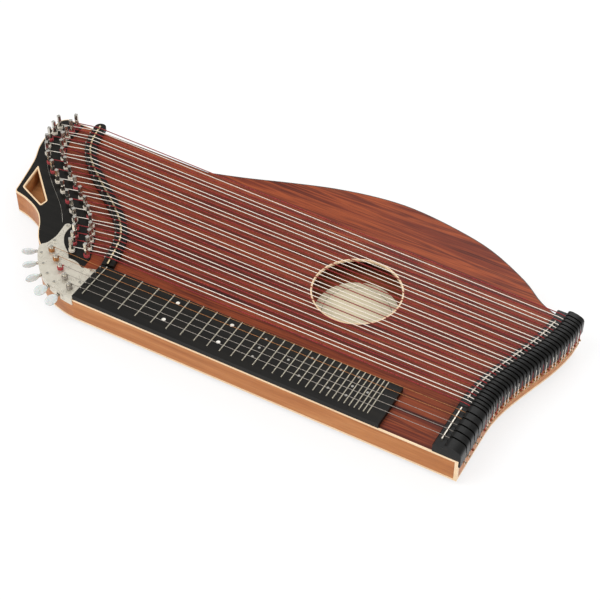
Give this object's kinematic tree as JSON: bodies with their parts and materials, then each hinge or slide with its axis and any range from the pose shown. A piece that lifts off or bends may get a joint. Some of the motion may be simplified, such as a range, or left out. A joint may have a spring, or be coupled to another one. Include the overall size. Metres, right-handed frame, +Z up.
{
  "type": "concert zither",
  "caption": "Flat box zither with a fretted fingerboard, melody strings on worm machine heads, accompaniment strings on turning tuning pins and a humped tail cap.",
  "frame": {"origin": "bottom centre of the whole part's box, on the surface under the feet", "axes": "+X from the head with the tuning pins to the tail along the strings, +Y from the player's edge to the far edge, +Z up out of the soundboard"},
  "size_m": [0.6833, 0.3255, 0.057],
  "materials": {
    "rosewood_veneer": "gloss lacquer over dark red-brown figured veneer",
    "side_wood": "satin lacquer over warm brown wood",
    "light_binding": "satin, pale strip",
    "beech": "plain wood",
    "spruce": "plain wood",
    "black_lacquer": "black stained and polished",
    "nickel_silver": "polished, engraved",
    "brass": "aged brass",
    "steel": "nickel plated",
    "string_steel": "plain and wound strings",
    "pearl_button": "pearl plastic button on a steel worm shaft",
    "black_rubber": "turned black feet"
  },
  "bodies": {
    "instrument": {"soundboard": "rosewood_veneer", "back_plate": "rosewood_veneer", "side_ribs": "side_wood", "pin_block": "beech", "inner_frame": "spruce", "head_plate": "black_lacquer", "bindings": "light_binding", "fretboard": "black_lacquer", "frets_and_markers": "nickel_silver", "nut_strip": "black_lacquer", "string_rods": "brass", "tail_cap": "black_lacquer", "string_pins": "steel", "strings": "string_steel", "machine_plate": "nickel_silver", "machine_frame": "brass", "feet": "black_rubber"},
    "tuning_pin_01": {"tuning_pin_01": "steel"},
    "tuning_pin_02": {"tuning_pin_02": "steel"},
    "tuning_pin_03": {"tuning_pin_03": "steel"},
    "tuning_pin_04": {"tuning_pin_04": "steel"},
    "tuning_pin_05": {"tuning_pin_05": "steel"},
    "tuning_pin_06": {"tuning_pin_06": "steel"},
    "tuning_pin_07": {"tuning_pin_07": "steel"},
    "tuning_pin_08": {"tuning_pin_08": "steel"},
    "tuning_pin_09": {"tuning_pin_09": "steel"},
    "tuning_pin_10": {"tuning_pin_10": "steel"},
    "tuning_pin_11": {"tuning_pin_11": "steel"},
    "tuning_pin_12": {"tuning_pin_12": "steel"},
    "tuning_pin_13": {"tuning_pin_13": "steel"},
    "tuning_pin_14": {"tuning_pin_14": "steel"},
    "tuning_pin_15": {"tuning_pin_15": "steel"},
    "tuning_pin_16": {"tuning_pin_16": "steel"},
    "tuning_pin_17": {"tuning_pin_17": "steel"},
    "tuning_pin_18": {"tuning_pin_18": "steel"},
    "tuning_pin_19": {"tuning_pin_19": "steel"},
    "tuning_pin_20": {"tuning_pin_20": "steel"},
    "tuning_pin_21": {"tuning_pin_21": "steel"},
    "tuning_pin_22": {"tuning_pin_22": "steel"},
    "tuning_pin_23": {"tuning_pin_23": "steel"},
    "tuning_pin_24": {"tuning_pin_24": "steel"},
    "tuning_pin_25": {"tuning_pin_25": "steel"},
    "tuning_pin_26": {"tuning_pin_26": "steel"},
    "tuning_pin_27": {"tuning_pin_27": "steel"},
    "tuning_pin_28": {"tuning_pin_28": "steel"},
    "tuning_pin_29": {"tuning_pin_29": "steel"},
    "tuning_pin_30": {"tuning_pin_30": "steel"},
    "tuning_pin_31": {"tuning_pin_31": "steel"},
    "tuning_pin_32": {"tuning_pin_32": "steel"},
    "tuning_pin_33": {"tuning_pin_33": "steel"},
    "worm_1": {"worm_1": "pearl_button"},
    "worm_2": {"worm_2": "pearl_button"},
    "worm_3": {"worm_3": "pearl_button"},
    "worm_4": {"worm_4": "pearl_button"},
    "worm_5": {"worm_5": "pearl_button"},
    "post_1": {"post_1": "steel"},
    "post_2": {"post_2": "steel"},
    "post_3": {"post_3": "steel"},
    "post_4": {"post_4": "steel"},
    "post_5": {"post_5": "steel"}
  },
  "joints": [
    {"name": "turn_pin_01", "type": "hinge", "parent": "instrument", "child": "tuning_pin_01", "pos_m": [-0.17313, -0.08392, 0.036], "axis": [0, 0, 1], "continuous": true},
    {"name": "turn_pin_02", "type": "hinge", "parent": "instrument", "child": "tuning_pin_02", "pos_m": [-0.1925, -0.08484, 0.036], "axis": [0, 0, 1], "continuous": true},
    {"name": "turn_pin_03", "type": "hinge", "parent": "instrument", "child": "tuning_pin_03", "pos_m": [-0.17784, -0.07341, 0.036], "axis": [0, 0, 1], "continuous": true},
    {"name": "turn_pin_04", "type": "hinge", "parent": "instrument", "child": "tuning_pin_04", "pos_m": [-0.19718, -0.07436, 0.036], "axis": [0, 0, 1], "continuous": true},
    {"name": "turn_pin_05", "type": "hinge", "parent": "instrument", "child": "tuning_pin_05", "pos_m": [-0.18263, -0.06286, 0.036], "axis": [0, 0, 1], "continuous": true},
    {"name": "turn_pin_06", "type": "hinge", "parent": "instrument", "child": "tuning_pin_06", "pos_m": [-0.20235, -0.06383, 0.036], "axis": [0, 0, 1], "continuous": true},
    {"name": "turn_pin_07", "type": "hinge", "parent": "instrument", "child": "tuning_pin_07", "pos_m": [-0.18849, -0.05225, 0.036], "axis": [0, 0, 1], "continuous": true},
    {"name": "turn_pin_08", "type": "hinge", "parent": "instrument", "child": "tuning_pin_08", "pos_m": [-0.20912, -0.0532, 0.036], "axis": [0, 0, 1], "continuous": true},
    {"name": "turn_pin_09", "type": "hinge", "parent": "instrument", "child": "tuning_pin_09", "pos_m": [-0.19636, -0.04152, 0.036], "axis": [0, 0, 1], "continuous": true},
    {"name": "turn_pin_10", "type": "hinge", "parent": "instrument", "child": "tuning_pin_10", "pos_m": [-0.21816, -0.04243, 0.036], "axis": [0, 0, 1], "continuous": true},
    {"name": "turn_pin_11", "type": "hinge", "parent": "instrument", "child": "tuning_pin_11", "pos_m": [-0.20661, -0.03065, 0.036], "axis": [0, 0, 1], "continuous": true},
    {"name": "turn_pin_12", "type": "hinge", "parent": "instrument", "child": "tuning_pin_12", "pos_m": [-0.2296, -0.03149, 0.036], "axis": [0, 0, 1], "continuous": true},
    {"name": "turn_pin_13", "type": "hinge", "parent": "instrument", "child": "tuning_pin_13", "pos_m": [-0.21918, -0.01959, 0.036], "axis": [0, 0, 1], "continuous": true},
    {"name": "turn_pin_14", "type": "hinge", "parent": "instrument", "child": "tuning_pin_14", "pos_m": [-0.24317, -0.02036, 0.036], "axis": [0, 0, 1], "continuous": true},
    {"name": "turn_pin_15", "type": "hinge", "parent": "instrument", "child": "tuning_pin_15", "pos_m": [-0.2336, -0.00835, 0.036], "axis": [0, 0, 1], "continuous": true},
    {"name": "turn_pin_16", "type": "hinge", "parent": "instrument", "child": "tuning_pin_16", "pos_m": [-0.25823, -0.00903, 0.036], "axis": [0, 0, 1], "continuous": true},
    {"name": "turn_pin_17", "type": "hinge", "parent": "instrument", "child": "tuning_pin_17", "pos_m": [-0.24909, 0.00307, 0.036], "axis": [0, 0, 1], "continuous": true},
    {"name": "turn_pin_18", "type": "hinge", "parent": "instrument", "child": "tuning_pin_18", "pos_m": [-0.27388, 0.00248, 0.036], "axis": [0, 0, 1], "continuous": true},
    {"name": "turn_pin_19", "type": "hinge", "parent": "instrument", "child": "tuning_pin_19", "pos_m": [-0.26464, 0.01466, 0.036], "axis": [0, 0, 1], "continuous": true},
    {"name": "turn_pin_20", "type": "hinge", "parent": "instrument", "child": "tuning_pin_20", "pos_m": [-0.28906, 0.01414, 0.036], "axis": [0, 0, 1], "continuous": true},
    {"name": "turn_pin_21", "type": "hinge", "parent": "instrument", "child": "tuning_pin_21", "pos_m": [-0.27916, 0.02637, 0.036], "axis": [0, 0, 1], "continuous": true},
    {"name": "turn_pin_22", "type": "hinge", "parent": "instrument", "child": "tuning_pin_22", "pos_m": [-0.30269, 0.02592, 0.036], "axis": [0, 0, 1], "continuous": true},
    {"name": "turn_pin_23", "type": "hinge", "parent": "instrument", "child": "tuning_pin_23", "pos_m": [-0.29166, 0.03817, 0.036], "axis": [0, 0, 1], "continuous": true},
    {"name": "turn_pin_24", "type": "hinge", "parent": "instrument", "child": "tuning_pin_24", "pos_m": [-0.31388, 0.03776, 0.036], "axis": [0, 0, 1], "continuous": true},
    {"name": "turn_pin_25", "type": "hinge", "parent": "instrument", "child": "tuning_pin_25", "pos_m": [-0.30139, 0.05001, 0.036], "axis": [0, 0, 1], "continuous": true},
    {"name": "turn_pin_26", "type": "hinge", "parent": "instrument", "child": "tuning_pin_26", "pos_m": [-0.32207, 0.04963, 0.036], "axis": [0, 0, 1], "continuous": true},
    {"name": "turn_pin_27", "type": "hinge", "parent": "instrument", "child": "tuning_pin_27", "pos_m": [-0.308, 0.06184, 0.036], "axis": [0, 0, 1], "continuous": true},
    {"name": "turn_pin_28", "type": "hinge", "parent": "instrument", "child": "tuning_pin_28", "pos_m": [-0.32715, 0.06149, 0.036], "axis": [0, 0, 1], "continuous": true},
    {"name": "turn_pin_29", "type": "hinge", "parent": "instrument", "child": "tuning_pin_29", "pos_m": [-0.31166, 0.07365, 0.036], "axis": [0, 0, 1], "continuous": true},
    {"name": "turn_pin_30", "type": "hinge", "parent": "instrument", "child": "tuning_pin_30", "pos_m": [-0.32959, 0.07333, 0.036], "axis": [0, 0, 1], "continuous": true},
    {"name": "turn_pin_31", "type": "hinge", "parent": "instrument", "child": "tuning_pin_31", "pos_m": [-0.31312, 0.08544, 0.036], "axis": [0, 0, 1], "continuous": true},
    {"name": "turn_pin_32", "type": "hinge", "parent": "instrument", "child": "tuning_pin_32", "pos_m": [-0.33046, 0.08516, 0.036], "axis": [0, 0, 1], "continuous": true},
    {"name": "turn_pin_33", "type": "hinge", "parent": "instrument", "child": "tuning_pin_33", "pos_m": [-0.31374, 0.09723, 0.036], "axis": [0, 0, 1], "continuous": true},
    {"name": "turn_button_1", "type": "hinge", "parent": "instrument", "child": "worm_1", "pos_m": [-0.21534, -0.08989, 0.032], "axis": [-0.8572, -0.515, 0], "continuous": true},
    {"name": "turn_button_2", "type": "hinge", "parent": "instrument", "child": "worm_2", "pos_m": [-0.20368, -0.10017, 0.032], "axis": [-0.7314, -0.682, 0], "continuous": true},
    {"name": "turn_button_3", "type": "hinge", "parent": "instrument", "child": "worm_3", "pos_m": [-0.19183, -0.11064, 0.032], "axis": [-0.5736, -0.8192, 0], "continuous": true},
    {"name": "turn_button_4", "type": "hinge", "parent": "instrument", "child": "worm_4", "pos_m": [-0.17976, -0.12128, 0.032], "axis": [-0.3907, -0.9205, 0], "continuous": true},
    {"name": "turn_button_5", "type": "hinge", "parent": "instrument", "child": "worm_5", "pos_m": [-0.16744, -0.13202, 0.032], "axis": [-0.1908, -0.9816, 0], "continuous": true},
    {"name": "turn_post_1", "type": "hinge", "parent": "instrument", "child": "post_1", "pos_m": [-0.21215, -0.0952, 0.032], "axis": [0, 0, 1], "continuous": true},
    {"name": "turn_post_2", "type": "hinge", "parent": "instrument", "child": "post_2", "pos_m": [-0.19945, -0.1047, 0.032], "axis": [0, 0, 1], "continuous": true},
    {"name": "turn_post_3", "type": "hinge", "parent": "instrument", "child": "post_3", "pos_m": [-0.18675, -0.1142, 0.032], "axis": [0, 0, 1], "continuous": true},
    {"name": "turn_post_4", "type": "hinge", "parent": "instrument", "child": "post_4", "pos_m": [-0.17405, -0.1237, 0.032], "axis": [0, 0, 1], "continuous": true},
    {"name": "turn_post_5", "type": "hinge", "parent": "instrument", "child": "post_5", "pos_m": [-0.16135, -0.1332, 0.032], "axis": [0, 0, 1], "continuous": true}
  ],
  "couplings": [
    {"joint": "turn_post_1", "follows": "turn_button_1", "ratio": -0.071429},
    {"joint": "turn_post_2", "follows": "turn_button_2", "ratio": -0.071429},
    {"joint": "turn_post_3", "follows": "turn_button_3", "ratio": -0.071429},
    {"joint": "turn_post_4", "follows": "turn_button_4", "ratio": -0.071429},
    {"joint": "turn_post_5", "follows": "turn_button_5", "ratio": -0.071429}
  ]
}
